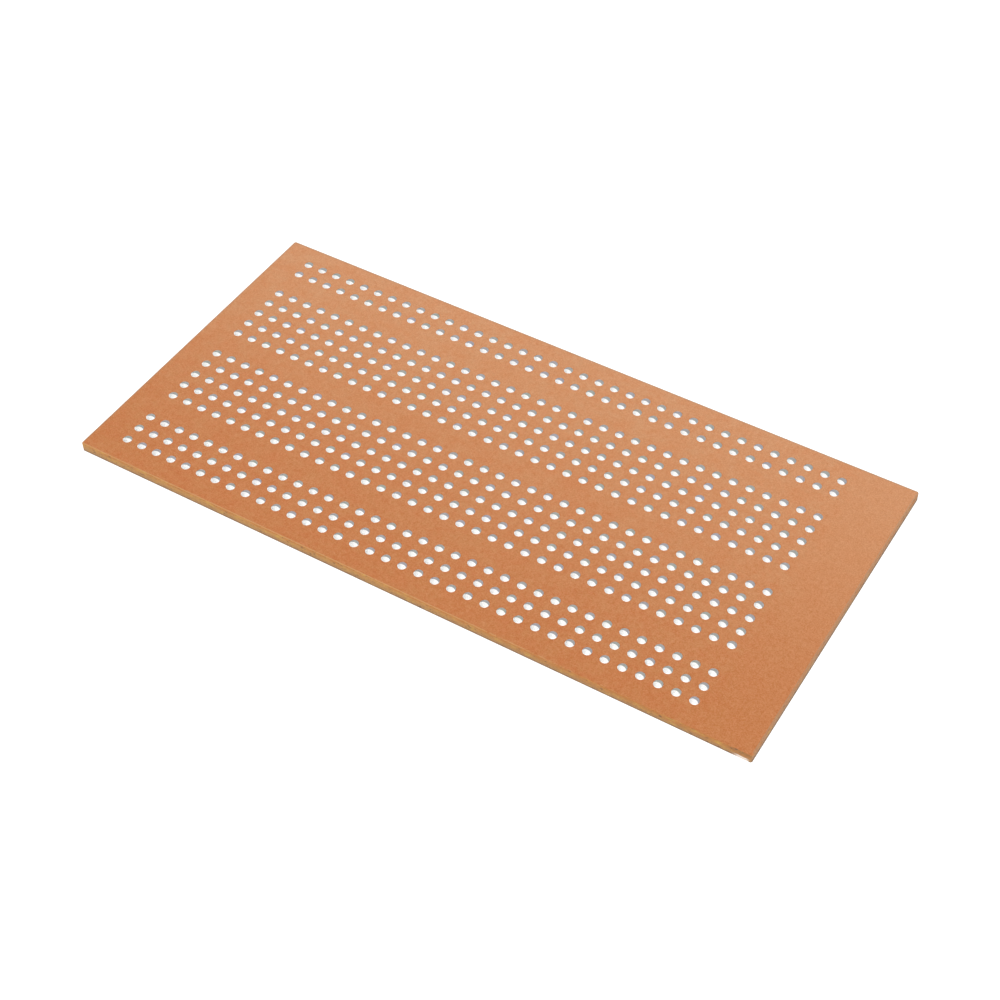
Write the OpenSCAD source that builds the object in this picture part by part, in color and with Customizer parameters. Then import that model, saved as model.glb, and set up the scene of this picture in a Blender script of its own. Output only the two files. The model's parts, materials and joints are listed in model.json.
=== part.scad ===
// Single-sided prototype board: a phenolic-paper sheet drilled on a square grid, lying with its
// copper face down. The copper below is etched into strips that join the holes of each column.
// X runs along the long side, Y across the board and Z up. The origin is the middle of the
// outline, on the surface that the board lies on. Sizes are in millimetres.

/* [Hole grid] */
// Distance between the centres of neighbouring holes
hole_pitch = 2.54; // [2.4:0.02:3]
// Bore of each lead hole
hole_d = 1.3; // [0.8:0.05:1.45]
// Number of columns along the board
columns = 36; // [2:1:60]
// Rows in the group along the near edge, which one strip joins
near_rows = 3; // [2:1:8]
// Rows in each of the two middle groups
middle_rows = 5; // [2:1:8]
// Rows in the group along the far edge
far_rows = 2; // [2:1:8]
// Rows left undrilled between two groups
skipped_rows = 1; // [1:1:3]

/* [Board] */
// Thickness of the phenolic-paper sheet
board_t = 1.4; // [0.8:0.1:3.2]
// Radius of the worn corners
corner_r = 0.3; // [0.1:0.05:1.2]
// Distance from the first column of holes to the left edge
left_margin = 5.05; // [2:0.05:20]
// Distance from the last column of holes to the right edge
right_margin = 9.9; // [2:0.05:20]
// Distance from the first row of holes to the near edge
near_margin = 3.9; // [2:0.05:20]
// Distance from the last row of holes to the far edge
far_margin = 3.45; // [2:0.05:20]

/* [Copper] */
// Thickness of the copper foil
foil_t = 0.035; // [0.018:0.001:0.105]
// Gap between the pads of neighbouring columns
pad_gap = 0.54; // [0.3:0.02:0.7]
// Width of the track that joins the pads of a strip
track_w = 1.2; // [0.6:0.05:1.6]

/* [Hidden] */

sheet_colour = [0.80, 0.55, 0.38];
copper_colour = [0.83, 0.50, 0.37];

hole_sides = 24;
pad_sides = 48;
corner_sides = 24;

pad_d = hole_pitch - pad_gap;

// Row places, counted in pitches from the nearest row
first_near_row = 0;
first_middle_row = first_near_row + near_rows + skipped_rows;
second_middle_row = first_middle_row + middle_rows + skipped_rows;
first_far_row = second_middle_row + middle_rows + skipped_rows;
last_row = first_far_row + far_rows - 1;

// Each group of rows as [its first row, how many rows it has]
near_group = [first_near_row, near_rows];
middle_groups = [[first_middle_row, middle_rows], [second_middle_row, middle_rows]];
far_group = [first_far_row, far_rows];

board_l = left_margin + (columns - 1) * hole_pitch + right_margin;
board_w = near_margin + last_row * hole_pitch + far_margin;

function column_x(column) = left_margin - board_l / 2 + column * hole_pitch;
function row_y(row) = near_margin - board_w / 2 + row * hole_pitch;

// The outlines of one group's bores
module lead_holes(group) {
    for (column = [0 : columns - 1], row = [group[0] : group[0] + group[1] - 1])
        translate([column_x(column), row_y(row)])
            circle(d = hole_d, $fn = hole_sides);
}

// The sheet's outline before drilling: two crossed rectangles with a round at each corner
module blank_sheet() {
    square([board_l - 2 * corner_r, board_w], center = true);
    square([board_l, board_w - 2 * corner_r], center = true);
    for (end = [-1, 1], side = [-1, 1])
        translate([end * (board_l / 2 - corner_r), side * (board_w / 2 - corner_r)])
            circle(r = corner_r, $fn = corner_sides);
}

module drilled_sheet() {
    color(sheet_colour)
        translate([0, 0, foil_t])
            linear_extrude(board_t)
                difference() {
                    blank_sheet();
                    for (group = concat([near_group], middle_groups, [far_group]))
                        lead_holes(group);
                }
}

// One strip's outline before drilling: a round pad at each hole, and the track that joins them
module blank_strip(group) {
    for (row = [group[0] : group[0] + group[1] - 1])
        translate([0, row_y(row)])
            circle(d = pad_d, $fn = pad_sides);
    translate([-track_w / 2, row_y(group[0])])
        square([track_w, (group[1] - 1) * hole_pitch]);
}

// The strips of one group, one under each column
module strips(group) {
    color(copper_colour)
        linear_extrude(foil_t)
            difference() {
                for (column = [0 : columns - 1])
                    translate([column_x(column), 0])
                        blank_strip(group);
                lead_holes(group);
            }
}

module near_strips() {
    strips(near_group);
}

module middle_strips() {
    for (group = middle_groups)
        strips(group);
}

module far_strips() {
    strips(far_group);
}

drilled_sheet();
near_strips();
middle_strips();
far_strips();
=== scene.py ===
"""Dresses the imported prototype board: a finer drilled sheet, finishes for the phenolic paper and the
copper strips, and a plain white studio seen from the photograph's camera."""

import json
import math

import bmesh
import bpy
from mathutils import Matrix, Vector


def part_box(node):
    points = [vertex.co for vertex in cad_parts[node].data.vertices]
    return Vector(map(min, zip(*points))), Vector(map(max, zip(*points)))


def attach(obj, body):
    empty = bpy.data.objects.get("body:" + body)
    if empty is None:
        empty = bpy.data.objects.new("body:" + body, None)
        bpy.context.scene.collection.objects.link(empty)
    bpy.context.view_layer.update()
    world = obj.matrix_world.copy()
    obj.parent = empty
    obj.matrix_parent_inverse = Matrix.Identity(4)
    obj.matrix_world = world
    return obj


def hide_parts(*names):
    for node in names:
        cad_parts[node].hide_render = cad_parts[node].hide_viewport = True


bl_info = {
    "name": "Prototype Board",
    "version": (1, 0, 0),
    "blender": (4, 5, 0),
    "location": "3D View > Sidebar > Board",
    "description": "Builds a drilled phenolic-paper board with bare copper strips under its holes",
    "category": "Object",
}

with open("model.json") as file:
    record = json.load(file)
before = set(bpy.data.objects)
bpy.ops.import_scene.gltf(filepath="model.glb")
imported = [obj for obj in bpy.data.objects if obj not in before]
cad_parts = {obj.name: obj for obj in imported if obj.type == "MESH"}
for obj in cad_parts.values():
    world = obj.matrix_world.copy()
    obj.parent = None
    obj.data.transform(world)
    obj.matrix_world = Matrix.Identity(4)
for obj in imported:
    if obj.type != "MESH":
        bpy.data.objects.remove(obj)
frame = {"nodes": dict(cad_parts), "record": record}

MM = 0.001

MOUNTS = {mount["name"]: mount for mount in frame["record"]["mounts"]}
GRID = MOUNTS["corner_lead_holes"]
GROUPS = [
    MOUNTS[name]
    for name in (
        "near_group_lead_holes",
        "first_middle_group_lead_holes",
        "second_middle_group_lead_holes",
        "far_group_lead_holes",
    )
]
HOLE_R = GRID["dims"]["hole_r_mm"] * MM
FIRST_COLUMN = GRID["pos_m"][0] - GRID["dims"]["spacing_x_mm"] * MM / 2
LAST_COLUMN = GRID["pos_m"][0] + GRID["dims"]["spacing_x_mm"] * MM / 2
SHEET_LOW, SHEET_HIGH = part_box("drilled_sheet")
SHEET_T = SHEET_HIGH.z - SHEET_LOW.z
FIRST_ROW = GRID["pos_m"][1] - GRID["dims"]["spacing_y_mm"] * MM / 2

# Painted light and shade in the bores: each wall is white inside an oval of painted light that moves
# with depth, like light falling in at a slant, and painted grey shade outside it: how far the oval
# moves for each unit of depth, where it is at the rim, its half axes and the turn of its long one
LIGHT_SLANT = Vector((-0.25, 0.677))
OVAL_SHIFT = Vector((0.017, -0.376)) * MM
OVAL_HALF = Vector((0.690, 0.530)) * MM
OVAL_TURN = -0.59

# Painted sheen and shade: how the face's red, green and blue drift from the near side, darker, to the far
# one, paler
NEAR_PAINTED_SHEEN_DRIFT = (0.947, 0.88, 0.64)
FAR_PAINTED_SHEEN_DRIFT = (1.025, 1.15, 1.36)

# Each softbox's place, width and height
FRONT_SOFTBOX = ((0.2, -0.7, 1.2), (1.0, 1.0))
BACK_SOFTBOX = ((0.1, 1.1, 0.57), (3.2, 0.95))

# The camera's place, how far it looks down, how far it is turned from straight ahead, its roll and
# its sideways shift
CAMERA_PLACE = Vector((0.09991, -0.153345, 0.19224))
CAMERA_DOWN = math.radians(47.192)
CAMERA_TURN = math.radians(30.202)
CAMERA_ROLL = math.radians(0.275)
CAMERA_SHIFT = -0.0626


def length(name, description, default, **limits):
    """A size property in metres."""
    return bpy.props.FloatProperty(
        name=name, description=description, default=default, unit="LENGTH", precision=5, **limits
    )


def colour(name, description, default):
    """A colour property."""
    return bpy.props.FloatVectorProperty(
        name=name, description=description, default=default, subtype="COLOR", min=0, max=1
    )


class SheetSettings(bpy.types.PropertyGroup):
    """Sizes and colours of the drilled sheet."""

    hole_pitch: length("Hole pitch", "Distance between the centres of neighbouring holes", 2.54 * MM)
    bore_sides: bpy.props.IntProperty(
        name="Bore sides",
        description="Flat faces round each bore; a multiple of eight",
        default=16,
        min=8,
        max=48,
    )
    rim: length("Punched rim", "How far the face is drawn down round each hole", 0.035 * MM)
    corner_radius: length("Corner radius", "Rounding of the four worn corners", 0.3 * MM)
    arris: length("Worn edge", "Bevel along the top edge of the cut sides", 0.07 * MM)
    face_warm: colour("Face, warm", "Reddish part of the face's mottling", (0.379, 0.112, 0.016))
    face_light: colour("Face, light", "Yellowish part of the face's mottling", (0.379, 0.138, 0.034))
    face_grain: colour(
        "Face grain", "How far the fine grain lightens and darkens the face", (0.052, 0.032, 0.022)
    )
    # Painted highlight along the near edge, over torn yellow paper
    face_lip_highlight: colour("Face, torn lip", "Yellow paper that shows along the near edge", (0.42, 0.215, 0.072))
    face_end: colour(
        "Face, worn lip", "The face where it rounds into three of the cut sides", (0.25, 0.150, 0.075)
    )
    core: colour("Cut core", "Ochre paper core where the long sides were cut", (0.388, 0.192, 0.064))
    core_red: colour("Cut core, redder", "The core towards the wide margin", (0.362, 0.158, 0.048))
    core_end: colour("Cut core, ends", "Greyer core of the two short sides", (0.330, 0.182, 0.102))
    core_foot: colour("Cut foot", "Greyer paper low on the cut sides", (0.310, 0.168, 0.074))
    core_pale: colour("Cut streaks", "Yellow streaks of dry paper", (0.462, 0.272, 0.058))
    core_dark: colour("Cut layers", "Darker resin layers in the cut sides", (0.140, 0.074, 0.037))
    # A pale patch low on the near side by one end
    core_pale_patch: colour("Frayed corner", "Pale paper where one corner's foot is knocked", (0.70, 0.60, 0.53))
    # Bore wall: white paper inside an oval of painted light, and painted grey shade outside it in the last two
    # colours
    bore: colour("Bore wall", "Raw pale paper in the holes", (0.985, 0.985, 0.97))
    # Painted glow: the white part of each bore glows a little, though no lamp is there
    bore_painted_glow: bpy.props.FloatProperty(
        name="Bore glow", description="Light that comes through the thin raw paper", default=0.055
    )
    # Painted grey shade on one side of each bore, greenish in some bores and bluish in others
    bore_painted_shade: colour("Bore scuff, greenish", "Grey mark on one side of each bore", (0.366, 0.390, 0.350))
    bore_painted_shade_violet: colour("Bore scuff, bluish", "Its colour in other bores", (0.380, 0.362, 0.410))


class CopperSettings(bpy.types.PropertyGroup):
    """Colours of the copper strips."""

    bright: colour("Bright copper", "Clean foil", (0.75, 0.355, 0.23))
    tarnish: colour("Tarnish", "Handled and oxidised foil", (0.46, 0.19, 0.10))


class StageSettings(bpy.types.PropertyGroup):
    """Floor, light and camera."""

    floor_width: length("Floor width", "Side of the square floor", 8.0)
    floor_glow: bpy.props.FloatProperty(
        name="Floor glow", description="Light from under the white floor", default=0.97
    )
    sky: bpy.props.FloatProperty(name="Sky", description="Even light from all round", default=0.68)
    front_power: bpy.props.FloatProperty(
        name="Front light", description="Power of the softbox over the camera", default=16.0, unit="POWER"
    )
    back_power: bpy.props.FloatProperty(
        name="Back light", description="Power of the long softbox behind the board", default=16.0, unit="POWER"
    )
    lens: bpy.props.FloatProperty(
        name="Lens", description="Focal length of the camera", default=69.36, unit="CAMERA"
    )


class Wire:
    """A socket that gives a value. Arithmetic on it adds Math nodes to its finish."""

    def __init__(self, finish, socket):
        self.finish = finish
        self.socket = socket

    def math(self, operation, *values):
        sockets = dict(enumerate((self, *values)))
        return self.finish.node("ShaderNodeMath", {"operation": operation}, sockets)

    def flipped(self, operation, other):
        return self.finish.node("ShaderNodeMath", {"operation": operation}, {0: other, 1: self})

    def __add__(self, other):
        return self.math("ADD", other)

    def __radd__(self, other):
        return self.flipped("ADD", other)

    def __sub__(self, other):
        return self.math("SUBTRACT", other)

    def __rsub__(self, other):
        return self.flipped("SUBTRACT", other)

    def __mul__(self, other):
        return self.math("MULTIPLY", other)

    def __rmul__(self, other):
        return self.flipped("MULTIPLY", other)

    def __truediv__(self, other):
        return self.math("DIVIDE", other)

    def __rtruediv__(self, other):
        return self.flipped("DIVIDE", other)

    def __abs__(self):
        return self.math("ABSOLUTE")

    def least(self, other):
        return self.math("MINIMUM", other)

    def most(self, other):
        return self.math("MAXIMUM", other)


class Finish:
    """A procedural material on Object coordinates."""

    def __init__(self, name):
        self.material = bpy.data.materials.new(name)
        self.material.use_nodes = True
        self.tree = self.material.node_tree
        self.tree.nodes.clear()
        self.place = self.node("ShaderNodeTexCoord", out="Object")

    def node(self, kind, settings=(), sockets=(), out=0):
        """Adds a node: its settings first, then the values or wires of its sockets."""
        made = self.tree.nodes.new(kind)
        for name, value in dict(settings).items():
            setattr(made, name, value)
        for key, value in dict(sockets).items():
            if isinstance(value, Wire):
                self.tree.links.new(value.socket, made.inputs[key])
            else:
                made.inputs[key].default_value = value
        return Wire(self, made.outputs[out])

    def axis(self, letter):
        """One coordinate of the place on the object."""
        return self.node("ShaderNodeSeparateXYZ", (), {0: self.place}, out=letter)

    def grain(self, size, detail=2.0, stretch=(1, 1, 1), turn=0.0):
        """Noise about 0, mostly within -1 to 1, with spots of the given size."""
        scale = tuple(1 / s for s in stretch)
        place = self.node(
            "ShaderNodeMapping", (), {"Vector": self.place, "Rotation": (0, 0, turn), "Scale": scale}
        )
        noise = self.node(
            "ShaderNodeTexNoise", (), {"Vector": place, "Scale": 1 / size, "Detail": detail}
        )
        return (noise - 0.5) * 4

    def between(self, value, low, high):
        """0 at low, 1 at high and a smooth step between them."""
        return self.node(
            "ShaderNodeMapRange",
            {"interpolation_type": "SMOOTHSTEP"},
            {"Value": value, "From Min": low, "From Max": high},
        )

    def blend(self, factor, first, second):
        """A colour from first, at factor 0, to second, at factor 1."""
        first, second = (c if isinstance(c, Wire) else (*c, 1) for c in (first, second))
        return self.node("ShaderNodeMix", {"data_type": "RGBA"}, {0: factor, 6: first, 7: second}, out=2)

    def scaled(self, shade, amount):
        """A colour made lighter or darker by an amount."""
        return self.node("ShaderNodeVectorMath", {"operation": "SCALE"}, {0: shade, "Scale": amount})

    def bump(self, height, distance, strength=1.0):
        """A normal from a height of 0 to 1 that stands for the given distance."""
        return self.node("ShaderNodeBump", (), {"Height": height, "Distance": distance, "Strength": strength})

    def shade(self, **sockets):
        """Ends the material in one shader; sockets are named with underscores for spaces."""
        named = {key.replace("_", " "): value for key, value in sockets.items()}
        shader = self.node("ShaderNodeBsdfPrincipled", (), named)
        self.node_output(shader)
        return self.material

    def node_output(self, shader):
        end = self.tree.nodes.new("ShaderNodeOutputMaterial")
        self.tree.links.new(shader.socket, end.inputs["Surface"])


def start_clean():
    """Leaves nothing selected and no mesh in edit mode."""
    if bpy.context.mode != "OBJECT":
        bpy.ops.object.mode_set(mode="OBJECT")
    bpy.ops.object.select_all(action="DESELECT")


def edit(piece):
    """Opens one mesh in edit mode."""
    start_clean()
    piece.select_set(True)
    bpy.context.view_layer.objects.active = piece
    bpy.ops.object.mode_set(mode="EDIT")


def choose(kind, test):
    """Selects the vertices, edges or faces of the open mesh that pass a test."""
    bpy.ops.mesh.select_mode(type=kind)
    bpy.ops.mesh.select_all(action="DESELECT")
    mesh = bpy.context.edit_object.data
    shape = bmesh.from_edit_mesh(mesh)
    for element in {"VERT": shape.verts, "EDGE": shape.edges, "FACE": shape.faces}[kind]:
        if test(element):
            element.select_set(True)
    bmesh.update_edit_mesh(mesh)


def same(a, b):
    return abs(a - b) < 1e-3 * MM


def on_line(axis, at):
    """A test for open edges that lie at one place along an axis."""
    return lambda edge: edge.is_boundary and all(same(vert.co[axis], at) for vert in edge.verts)


def apply_modifiers(piece):
    start_clean()
    piece.select_set(True)
    bpy.context.view_layer.objects.active = piece
    for modifier in list(piece.modifiers):
        bpy.ops.object.modifier_apply(modifier=modifier.name)


def repeat(piece, count, step):
    """Repeats a piece along a line and merges the copies where they meet."""
    array = piece.modifiers.new("Repeat", "ARRAY")
    array.use_relative_offset = False
    array.use_constant_offset = True
    array.constant_offset_displace = step
    array.count = count
    array.use_merge_vertices = True
    array.merge_threshold = 1e-3 * MM
    apply_modifiers(piece)


def pull(axis, start, end):
    """Draws the open edges at one place along an axis out to another."""
    choose("EDGE", on_line(axis, start))
    step = [0.0, 0.0, 0.0]
    step[axis] = end - start
    bpy.ops.mesh.extrude_edges_move(TRANSFORM_OT_translate={"value": step})


class BOARD_OT_drilled_sheet(bpy.types.Operator):
    """Model the drilled phenolic-paper sheet, with punched rims and worn edges"""

    bl_idname = "prototype_board.drilled_sheet"
    bl_label = "Drilled Sheet"

    def execute(self, context):
        sizes = context.scene.board_sheet
        rows = self.hole_row(sizes)
        sheet, field = self.join_groups(rows, sizes)
        self.grow_margins(sheet, field, sizes)
        self.thicken(sheet, sizes)
        sheet.data.materials.clear()
        for finish in (face_finish(sizes), edge_finish(sizes), bore_finish(sizes)):
            sheet.data.materials.append(finish)
        self.sort_faces(sheet, sizes)
        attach(sheet, "root")
        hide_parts("drilled_sheet")
        return {"FINISHED"}

    def hole_row(self, sizes):
        """One row of bores: a ring drawn out to a square tile, and the tile repeated."""
        half = sizes.hole_pitch / 2
        start_clean()
        bpy.ops.mesh.primitive_circle_add(
            vertices=sizes.bore_sides, radius=HOLE_R, location=(FIRST_COLUMN, 0, SHEET_HIGH.z)
        )
        tile = bpy.context.object
        bpy.ops.object.transform_apply(location=True, rotation=True, scale=True)
        centre = Vector((FIRST_COLUMN, 0, SHEET_HIGH.z))
        edit(tile)
        bpy.ops.mesh.select_all(action="SELECT")
        bpy.ops.mesh.extrude_edges_move()
        reach = 2 * sizes.hole_pitch / HOLE_R
        bpy.ops.transform.resize(value=(reach, reach, 1), center_override=centre)
        for outward in (Vector((1, 0, 0)), Vector((-1, 0, 0)), Vector((0, 1, 0)), Vector((0, -1, 0))):
            bpy.ops.mesh.select_all(action="SELECT")
            bpy.ops.mesh.bisect(
                plane_co=centre + outward * half, plane_no=outward, clear_outer=True, threshold=1e-4 * MM
            )
        bpy.ops.object.mode_set(mode="OBJECT")
        columns = round((LAST_COLUMN - FIRST_COLUMN) / sizes.hole_pitch) + 1
        repeat(tile, columns, (sizes.hole_pitch, 0, 0))
        return tile

    def join_groups(self, row, sizes):
        """The row repeated for each group and joined across the undrilled rows, and the field's edges."""
        half = sizes.hole_pitch / 2
        spans, pieces = [], []
        for mount in GROUPS:
            reach = mount["dims"]["spacing_y_mm"] * MM
            first = mount["pos_m"][1] - reach / 2
            start_clean()
            row.select_set(True)
            bpy.context.view_layer.objects.active = row
            bpy.ops.object.duplicate(linked=False)
            group = bpy.context.object
            bpy.ops.transform.translate(value=(0, first, 0))
            bpy.ops.object.transform_apply(location=True, rotation=True, scale=True)
            repeat(group, round(reach / sizes.hole_pitch) + 1, (0, sizes.hole_pitch, 0))
            pieces.append(group)
            spans.append((first - half, first + reach + half))
        bpy.data.objects.remove(row)
        start_clean()
        for group in pieces:
            group.select_set(True)
        sheet = pieces[0]
        bpy.context.view_layer.objects.active = sheet
        bpy.ops.object.join()
        sheet.name = sheet.data.name = "phenolic_sheet"
        edit(sheet)
        for (_, end), (start, _) in zip(spans, spans[1:]):
            pull(1, end, start)
        bpy.ops.mesh.select_all(action="SELECT")
        bpy.ops.mesh.remove_doubles(threshold=1e-3 * MM)
        return sheet, (FIRST_COLUMN - half, LAST_COLUMN + half, spans[0][0], spans[-1][1])

    def grow_margins(self, sheet, field, sizes):
        """The bare margins, with the four corners rounded."""
        left, right, near, far = field
        edit(sheet)
        pull(0, left, SHEET_LOW.x)
        pull(0, right, SHEET_HIGH.x)
        pull(1, near, SHEET_LOW.y)
        pull(1, far, SHEET_HIGH.y)
        choose(
            "VERT",
            lambda vert: vert.is_boundary
            and (same(vert.co.x, SHEET_LOW.x) or same(vert.co.x, SHEET_HIGH.x))
            and (same(vert.co.y, SHEET_LOW.y) or same(vert.co.y, SHEET_HIGH.y)),
        )
        bpy.ops.mesh.bevel(offset=sizes.corner_radius, segments=5, affect="VERTICES", clamp_overlap=True)

    def thicken(self, sheet, sizes):
        """The sheet's thickness, the drawn-down rims and the worn outline."""
        edit(sheet)
        bpy.ops.mesh.select_mode(type="FACE")
        bpy.ops.mesh.select_all(action="SELECT")
        bpy.ops.mesh.extrude_region_move(TRANSFORM_OT_translate={"value": (0, 0, -SHEET_T)})
        bpy.ops.mesh.select_all(action="SELECT")
        bpy.ops.mesh.normals_make_consistent(inside=False)
        top = SHEET_HIGH.z
        choose("EDGE", lambda edge: self.at_rim(edge, top) and self.in_field(edge))
        bpy.ops.mesh.bevel(offset=sizes.rim, segments=1, affect="EDGES", clamp_overlap=True)
        choose("EDGE", lambda edge: self.at_rim(edge, top) and not self.in_field(edge))
        bpy.ops.mesh.bevel(offset=sizes.arris, segments=2, affect="EDGES", clamp_overlap=True)
        choose("EDGE", lambda edge: self.at_rim(edge, SHEET_LOW.z) and not self.in_field(edge))
        bpy.ops.mesh.bevel(offset=sizes.arris / 2, segments=1, affect="EDGES", clamp_overlap=True)
        start_clean()
        sheet.select_set(True)
        bpy.ops.object.shade_smooth_by_angle(angle=math.radians(30))
        edit(sheet)
        choose("FACE", lambda face: abs(face.normal.z) > 0.999)
        bpy.ops.mesh.faces_shade_flat()
        start_clean()

    def at_rim(self, edge, height):
        """Whether an edge lies at a height, between a level face and a wall."""
        return all(same(vert.co.z, height) for vert in edge.verts) and any(
            abs(face.normal.z) < 0.5 for face in edge.link_faces
        )

    def in_field(self, element):
        """Whether an edge or face is inside the outline, by its middle."""
        middle = sum((vert.co for vert in element.verts), Vector()) / len(element.verts)
        inset = 0.5 * MM
        return (
            SHEET_LOW.x + inset < middle.x < SHEET_HIGH.x - inset
            and SHEET_LOW.y + inset < middle.y < SHEET_HIGH.y - inset
        )

    def sort_faces(self, sheet, sizes):
        """Gives the cut sides and the bores their own finishes."""
        edit(sheet)
        for slot, test in (
            (1, lambda face: abs(face.normal.z) < 0.95 and not self.in_field(face)),
            (2, lambda face: abs(face.normal.z) < 0.5 and self.in_field(face)),
        ):
            choose("FACE", test)
            sheet.active_material_index = slot
            bpy.ops.object.material_slot_assign()
        start_clean()


class BOARD_OT_copper_strips(bpy.types.Operator):
    """Give the etched copper strips their finish"""

    bl_idname = "prototype_board.copper_strips"
    bl_label = "Copper Strips"

    def execute(self, context):
        finish = copper_finish(context.scene.board_copper)
        for name in ("near_strips", "middle_strips", "far_strips"):
            for slot in frame["nodes"][name].material_slots:
                slot.material = finish
        return {"FINISHED"}


class BOARD_OT_studio(bpy.types.Operator):
    """Set up the white floor, the soft lights and the camera"""

    bl_idname = "prototype_board.studio"
    bl_label = "Studio"

    def execute(self, context):
        sizes = context.scene.board_stage
        self.lay_floor(sizes)
        self.light(context, sizes)
        self.aim_camera(context, sizes)
        context.scene.view_settings.view_transform = "Standard"
        return {"FINISHED"}

    def lay_floor(self, sizes):
        start_clean()
        bpy.ops.mesh.primitive_plane_add(size=sizes.floor_width)
        floor = bpy.context.object
        floor.name = floor.data.name = "floor"
        finish = Finish("white_floor")
        mottle = finish.grain(0.3, 1.0)
        floor.data.materials.append(
            finish.shade(
                Base_Color=finish.blend(mottle * 0.5 + 0.5, (0.20, 0.20, 0.20), (0.22, 0.22, 0.22)),
                Roughness=0.9,
                Emission_Color=(1, 1, 1, 1),
                Emission_Strength=sizes.floor_glow,
            )
        )

    def light(self, context, sizes):
        world = bpy.data.worlds.new("soft_sky")
        world.use_nodes = True
        nodes, links = world.node_tree.nodes, world.node_tree.links
        backdrop = nodes["Background"]
        rays = nodes.new("ShaderNodeLightPath")
        level = nodes.new("ShaderNodeMapRange")
        level.inputs["To Min"].default_value = sizes.sky
        level.inputs["To Max"].default_value = 1.0
        links.new(rays.outputs["Is Camera Ray"], level.inputs["Value"])
        links.new(level.outputs["Result"], backdrop.inputs["Strength"])
        backdrop.inputs["Color"].default_value = (1, 1, 1, 1)
        context.scene.world = world
        self.softbox("front_softbox", *FRONT_SOFTBOX, sizes.front_power)
        self.softbox("back_softbox", *BACK_SOFTBOX, sizes.back_power)

    def softbox(self, name, place, size, power):
        """A rectangular light that faces the board."""
        start_clean()
        bpy.ops.object.light_add(type="AREA", location=place)
        light = bpy.context.object
        light.name = light.data.name = name
        light.rotation_euler = (-Vector(place)).to_track_quat("-Z", "Y").to_euler()
        light.data.shape = "RECTANGLE"
        light.data.size, light.data.size_y = size
        light.data.energy = power

    def aim_camera(self, context, sizes):
        level = Vector((math.cos(CAMERA_TURN), math.sin(CAMERA_TURN), 0))
        ahead = Vector((-level.y, level.x, 0))
        forward = ahead * math.cos(CAMERA_DOWN) - Vector((0, 0, math.sin(CAMERA_DOWN)))
        upright = level.cross(forward)
        right = level * math.cos(CAMERA_ROLL) + upright * math.sin(CAMERA_ROLL)
        up = right.cross(forward)
        start_clean()
        bpy.ops.object.camera_add(location=CAMERA_PLACE)
        camera = bpy.context.object
        camera.name = camera.data.name = "camera"
        camera.rotation_euler = Matrix((right, up, -forward)).transposed().to_euler()
        camera.data.lens = sizes.lens
        camera.data.shift_x = CAMERA_SHIFT
        context.scene.camera = camera


def outline_distance(finish):
    """How far a place on the sheet is from the nearest cut side, in metres."""
    x, y = finish.axis("X"), finish.axis("Y")
    return (SHEET_HIGH.x - abs(x)).least(SHEET_HIGH.y - abs(y))


def face_finish(sizes):
    """Pressed phenolic-paper face: faint mottling, paper fibres and a satin skin; a painted sheen, paler
    towards the far side and the low-X end; a greyer band along three edges; and along the near edge a
    pale lip, partly torn yellow paper and partly painted highlight.
    """
    f = Finish("phenolic_face")
    broad = f.grain(24 * MM, 1.0)
    cloud = f.grain(2.4 * MM, 3.0)
    mottle = f.grain(0.7 * MM, 3.0)
    fine = f.grain(0.15 * MM, 1.0)
    along = f.grain(0.12 * MM, 2.0, (9, 1, 1), 0.3)
    across = f.grain(0.12 * MM, 2.0, (9, 1, 1), -1.1)
    fibre = f.between(along.most(across), 0.55, 1.4)
    speck = f.between(f.grain(0.45 * MM, 1.0), 1.15, 1.6)
    calm = 1 - 0.6 * f.between(f.axis("X"), LAST_COLUMN, LAST_COLUMN + 4 * MM)
    spots = 0.5 + calm * (0.45 * cloud + 0.45 * mottle) + 0.12 * broad
    tone = f.blend(spots, sizes.face_warm, sizes.face_light)
    # Painted sheen: the face grows paler towards the far side and darker towards the near one
    painted_sheen_drift = f.blend(f.between(f.axis("Y"), SHEET_LOW.y, SHEET_HIGH.y), NEAR_PAINTED_SHEEN_DRIFT, FAR_PAINTED_SHEEN_DRIFT)
    tone = f.node("ShaderNodeVectorMath", {"operation": "MULTIPLY"}, {0: tone, 1: painted_sheen_drift})
    # Painted light and shade: the face is a little lighter towards the low-X end and darker towards the high-X
    # end
    painted_end_light = 0.02 * f.between(f.axis("X"), SHEET_HIGH.x, SHEET_LOW.x) - 0.01
    skin = f.scaled(tone, 1 + painted_end_light + 0.02 * mottle + 0.06 * fibre - 0.10 * speck)
    skin = f.node(
        "ShaderNodeVectorMath", {"operation": "MULTIPLY_ADD"}, {0: fine, 1: sizes.face_grain, 2: skin}
    )
    # Along the near edge a pale lip, partly torn yellow paper and partly painted highlight; along the other
    # three edges a greyer band
    near = f.between(f.axis("Y"), SHEET_LOW.y + 0.6 * MM, SHEET_LOW.y + 0.4 * MM)
    worn = f.between(f.axis("X"), 0.85 * SHEET_HIGH.x, 0.0)
    lip = f.between(outline_distance(f) + 0.04 * MM * mottle, 0.30 * MM, 0.08 * MM)
    torn = f.between(mottle + 1.5 * worn, 0.2, 1.5)
    lip_band_colour = f.blend(near, sizes.face_end, sizes.face_lip_highlight)
    lip_amount = lip * (0.8 + near * (0.95 * torn - 0.8))
    return f.shade(
        Base_Color=f.blend(lip_amount, skin, lip_band_colour),
        Roughness=0.36 + 0.04 * mottle + 0.05 * fine - 0.05 * fibre,
        IOR=1.6,
        Normal=f.bump(0.5 + 0.2 * fine + 0.15 * fibre + 0.15 * mottle, 0.006 * MM),
    )


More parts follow.
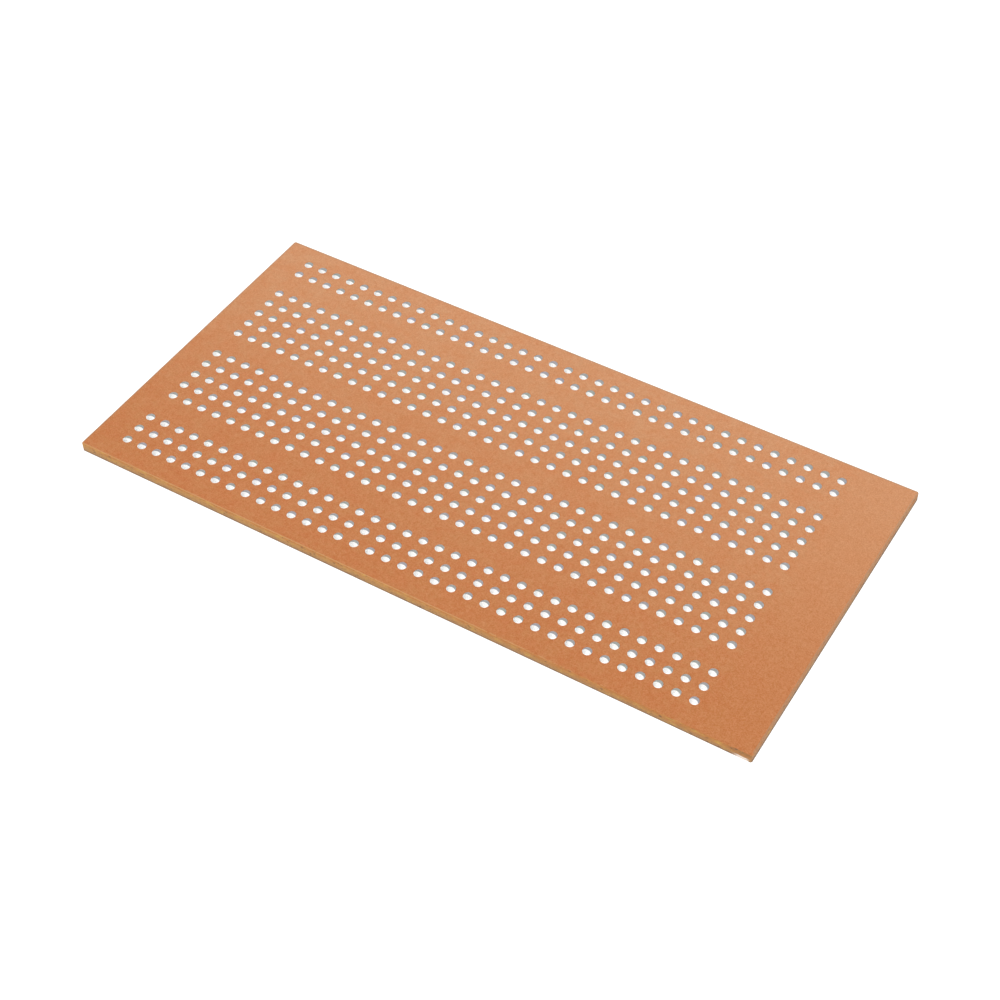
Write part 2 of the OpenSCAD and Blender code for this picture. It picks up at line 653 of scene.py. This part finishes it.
def edge_finish(sizes):
    """Cut sides: a streaky ochre paper core over a dark foot, and a pale patch low on the near side by the
    high-X end, under a darker patch.
    """
    f = Finish("cut_edge")
    height = (f.axis("Z") - SHEET_LOW.z) / SHEET_T
    x = f.axis("X")
    ends = f.between(SHEET_HIGH.x - abs(x), 0.14 * MM, 0.05 * MM)
    wobble = height + 0.05 * f.grain(0.7 * MM, 2.0)
    layers = f.grain(0.05 * MM, 2.0, (30, 30, 1))
    crumbs = f.grain(0.20 * MM, 3.0)
    tear = f.grain(1.6 * MM, 3.0, (1, 1, 0.35))
    marks = f.between(f.grain(0.34 * MM, 2.0, (2.2, 2.2, 1)), 0.35, 0.95)
    glints = f.between(f.grain(0.30 * MM, 2.0, (3, 3, 1)), 0.35, 1.0)
    along = f.between(x + 6 * MM * tear, 0.2 * SHEET_LOW.x, SHEET_HIGH.x)
    end = f.blend(0.45 * f.between(tear, -0.2, 1.0), sizes.core_end, sizes.core_red)
    core = f.blend(ends, f.blend(along, sizes.core, sizes.core_red), end)
    # Greyer, then darker, towards the bottom of the cut sides
    core = f.blend(f.between(wobble, 0.62, 0.22), core, sizes.core_foot)
    # Pale yellow: streaks in the paper, with small painted glints
    pale = f.between(0.4 * layers - tear, 0.2, 1.1).most(glints)
    core = f.blend(0.8 * pale, core, sizes.core_pale)
    smear = f.between(wobble + 0.22 * tear + 0.06 * crumbs, 0.72, 1.02)
    core = f.blend(0.7 * smear, core, sizes.face_light)
    foot = f.between(wobble - 0.22 * ends, 0.24, 0.10)
    # A pale patch low on the near side by the high-X end, under a darker patch
    end_distance = SHEET_HIGH.x - x + 0.35 * MM * crumbs
    near_side_band = f.between(f.axis("Y"), 0.9 * SHEET_LOW.y, 0.95 * SHEET_LOW.y) * (1 - ends)
    dark_patch = near_side_band * f.between(end_distance, 3.8 * MM, 2.4 * MM) * f.between(wobble, 0.45, 0.85)
    pale_patch = near_side_band * f.between(end_distance, 2.8 * MM, 1.6 * MM) * f.between(end_distance, 0.2 * MM, 0.8 * MM)
    pale_patch = pale_patch * f.between(wobble, 0.42, 0.26)
    dark = 0.62 * foot + 0.30 * f.between(layers + 0.6 * tear, 0.3, 1.4) + 0.75 * marks
    dark = dark + dark_patch * (0.30 + 0.5 * f.between(crumbs, -0.2, 0.9))
    return f.shade(
        Base_Color=f.scaled(
            f.blend(0.9 * pale_patch, f.blend(dark.least(1.0), core, sizes.core_dark), sizes.core_pale_patch),
            1.02 + 0.12 * crumbs + 0.10 * layers,
        ),
        Roughness=0.78 + 0.06 * crumbs,
        IOR=1.35,
        Normal=f.bump(0.5 + 0.25 * crumbs + 0.25 * layers, 0.03 * MM),
    )


def bore_finish(sizes):
    """Bore walls: white paper inside an oval of painted light that moves with depth, and painted grey shade
    outside it under one side of the rim; the white part also has a faint painted glow.
    """
    f = Finish("bore_wall")
    half = sizes.hole_pitch / 2
    x = (f.axis("X") - FIRST_COLUMN).math("WRAP", half, -half)
    y = (f.axis("Y") - FIRST_ROW).math("WRAP", half, -half)
    depth = SHEET_HIGH.z - f.axis("Z")
    torn = f.grain(0.10 * MM, 2.0, (1, 1, 4))
    x = x - (LIGHT_SLANT.x * depth + OVAL_SHIFT.x)
    y = y - (LIGHT_SLANT.y * depth + OVAL_SHIFT.y)
    cos, sin = math.cos(OVAL_TURN), math.sin(OVAL_TURN)
    along = (cos * x + sin * y) / OVAL_HALF.x
    across = (cos * y - sin * x) / OVAL_HALF.y
    off = (along * along + across * across).math("SQRT") + 0.03 * torn
    # Painted grey shade, greenish in some bores and bluish in others
    painted_shade_tint = f.blend(0.5 + 0.5 * f.grain(3.1 * MM, 1.0), sizes.bore_painted_shade, sizes.bore_painted_shade_violet)
    # Outside the oval of painted light the wall takes the painted shade
    painted_shade_mask = f.between(off, 0.93, 1.07)
    return f.shade(
        Base_Color=f.scaled(f.blend(painted_shade_mask, sizes.bore, painted_shade_tint), 1 + 0.015 * torn),
        Roughness=0.6 + 0.05 * torn,
        # Painted glow on the white part inside the oval
        Emission_Color=f.blend(painted_shade_mask, (1.0, 1.0, 1.0), (0.0, 0.0, 0.0)),
        Emission_Strength=sizes.bore_painted_glow,
        Normal=f.bump(0.5 + 0.3 * torn, 0.01 * MM),
    )


def copper_finish(sizes):
    """Etched foil: fine brushing, tarnish and a thin clear flux coat."""
    f = Finish("bare_copper_foil")
    brushed = f.grain(0.05 * MM, 2.0, (25, 1, 1))
    patches = f.grain(3.5 * MM, 3.0)
    spots = f.grain(0.35 * MM, 2.0)
    worn = f.between(patches + 0.5 * spots, -0.2, 1.4)
    return f.shade(
        Base_Color=f.scaled(f.blend(worn, sizes.bright, sizes.tarnish), 1 + 0.05 * brushed),
        Metallic=1.0,
        Roughness=0.30 + 0.12 * worn + 0.05 * brushed,
        Coat_Weight=0.35,
        Coat_Roughness=0.2,
        Normal=f.bump(0.5 + 0.2 * brushed + 0.1 * spots, 0.002 * MM),
    )


class BOARD_PT_panel(bpy.types.Panel):
    """Lists the board's pieces in the sidebar"""

    bl_idname = "BOARD_PT_panel"
    bl_label = "Prototype Board"
    bl_space_type = "VIEW_3D"
    bl_region_type = "UI"
    bl_category = "Board"

    def draw(self, context):
        scene = context.scene
        for step, settings in (
            (BOARD_OT_drilled_sheet, scene.board_sheet),
            (BOARD_OT_copper_strips, scene.board_copper),
            (BOARD_OT_studio, scene.board_stage),
        ):
            box = self.layout.box()
            box.operator(step.bl_idname)
            for name in settings.__annotations__:
                box.prop(settings, name)


CLASSES = (
    SheetSettings,
    CopperSettings,
    StageSettings,
    BOARD_OT_drilled_sheet,
    BOARD_OT_copper_strips,
    BOARD_OT_studio,
    BOARD_PT_panel,
)


def register():
    for cls in CLASSES:
        bpy.utils.register_class(cls)
    bpy.types.Scene.board_sheet = bpy.props.PointerProperty(type=SheetSettings)
    bpy.types.Scene.board_copper = bpy.props.PointerProperty(type=CopperSettings)
    bpy.types.Scene.board_stage = bpy.props.PointerProperty(type=StageSettings)


def unregister():
    del bpy.types.Scene.board_stage
    del bpy.types.Scene.board_copper
    del bpy.types.Scene.board_sheet
    for cls in reversed(CLASSES):
        bpy.utils.unregister_class(cls)


def main():
    """Builds the pieces and the studio."""
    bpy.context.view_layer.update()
    register()
    bpy.ops.prototype_board.studio()
    bpy.ops.prototype_board.drilled_sheet()
    bpy.ops.prototype_board.copper_strips()


if __name__ == "__main__":
    main()
